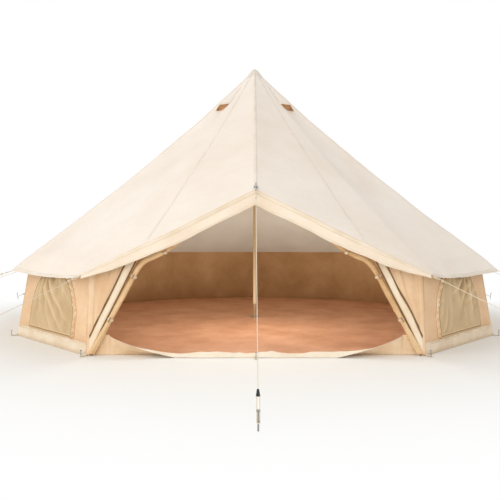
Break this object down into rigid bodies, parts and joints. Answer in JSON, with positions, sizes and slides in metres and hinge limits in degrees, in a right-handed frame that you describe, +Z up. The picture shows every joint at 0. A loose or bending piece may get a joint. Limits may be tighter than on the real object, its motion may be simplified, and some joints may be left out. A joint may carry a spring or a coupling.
{
  "type": "canvas bell tent",
  "caption": "Round canvas bell tent on one centre pole, with a low wall, a pulled-out door ridge over an open rolled-up door, arched mesh windows, roof vents and guy ropes on stakes.",
  "frame": {"origin": "underside of the groundsheet, under the centre pole", "axes": "+Z up along the pole, -Y out of the door, +X to the right of someone who looks at the door from outside"},
  "size_m": [10.2532, 9.6772, 3.4223],
  "materials": {
    "roof_canvas": "cream cotton canvas",
    "wall_canvas": "cream cotton canvas in its own shade",
    "skirt_canvas": "coated canvas band",
    "mesh": "fine woven insect mesh",
    "screen": "dark vent mesh",
    "floor_sheet": "woven coated groundsheet",
    "steel": "galvanised steel",
    "pole": "painted steel tube",
    "rope": "twisted cotton rope",
    "slider": "black moulded runner"
  },
  "bodies": {
    "root": {"groundsheet": "floor_sheet", "wall_corner_right": "wall_canvas", "wall_side_right": "wall_canvas", "wall_flank_right": "wall_canvas", "wall_rear_right": "wall_canvas", "wall_back_right": "wall_canvas", "wall_corner_left": "wall_canvas", "wall_side_left": "wall_canvas", "wall_flank_left": "wall_canvas", "wall_rear_left": "wall_canvas", "wall_back_left": "wall_canvas", "door_flank_right": "wall_canvas", "door_flank_left": "wall_canvas", "skirt_right": "skirt_canvas", "skirt_left": "skirt_canvas", "door_sill": "skirt_canvas", "window_right_front": "mesh", "window_right_rear": "mesh", "window_left_front": "mesh", "window_left_rear": "mesh", "roof_porch_right": "roof_canvas", "roof_corner_right": "roof_canvas", "roof_side_right": "roof_canvas", "roof_flank_right": "roof_canvas", "roof_rear_right": "roof_canvas", "roof_back_right": "roof_canvas", "roof_porch_left": "roof_canvas", "roof_corner_left": "roof_canvas", "roof_side_left": "roof_canvas", "roof_flank_left": "roof_canvas", "roof_rear_left": "roof_canvas", "roof_back_left": "roof_canvas", "valance_right": "roof_canvas", "valance_left": "roof_canvas", "door_roll_right": "wall_canvas", "door_roll_left": "wall_canvas", "vent_hoods": "roof_canvas", "vent_screens": "screen", "apex_cap": "roof_canvas", "pole_foot": "steel", "pole_lower": "pole", "pole_upper": "pole", "door_ring": "steel", "eave_tabs": "roof_canvas", "guy_ropes_right": "rope", "guy_ropes_left": "rope", "door_rope": "rope", "guy_sliders": "slider", "guy_stakes": "steel", "peg_loops": "roof_canvas", "ground_pegs": "steel"}
  },
  "joints": []
}
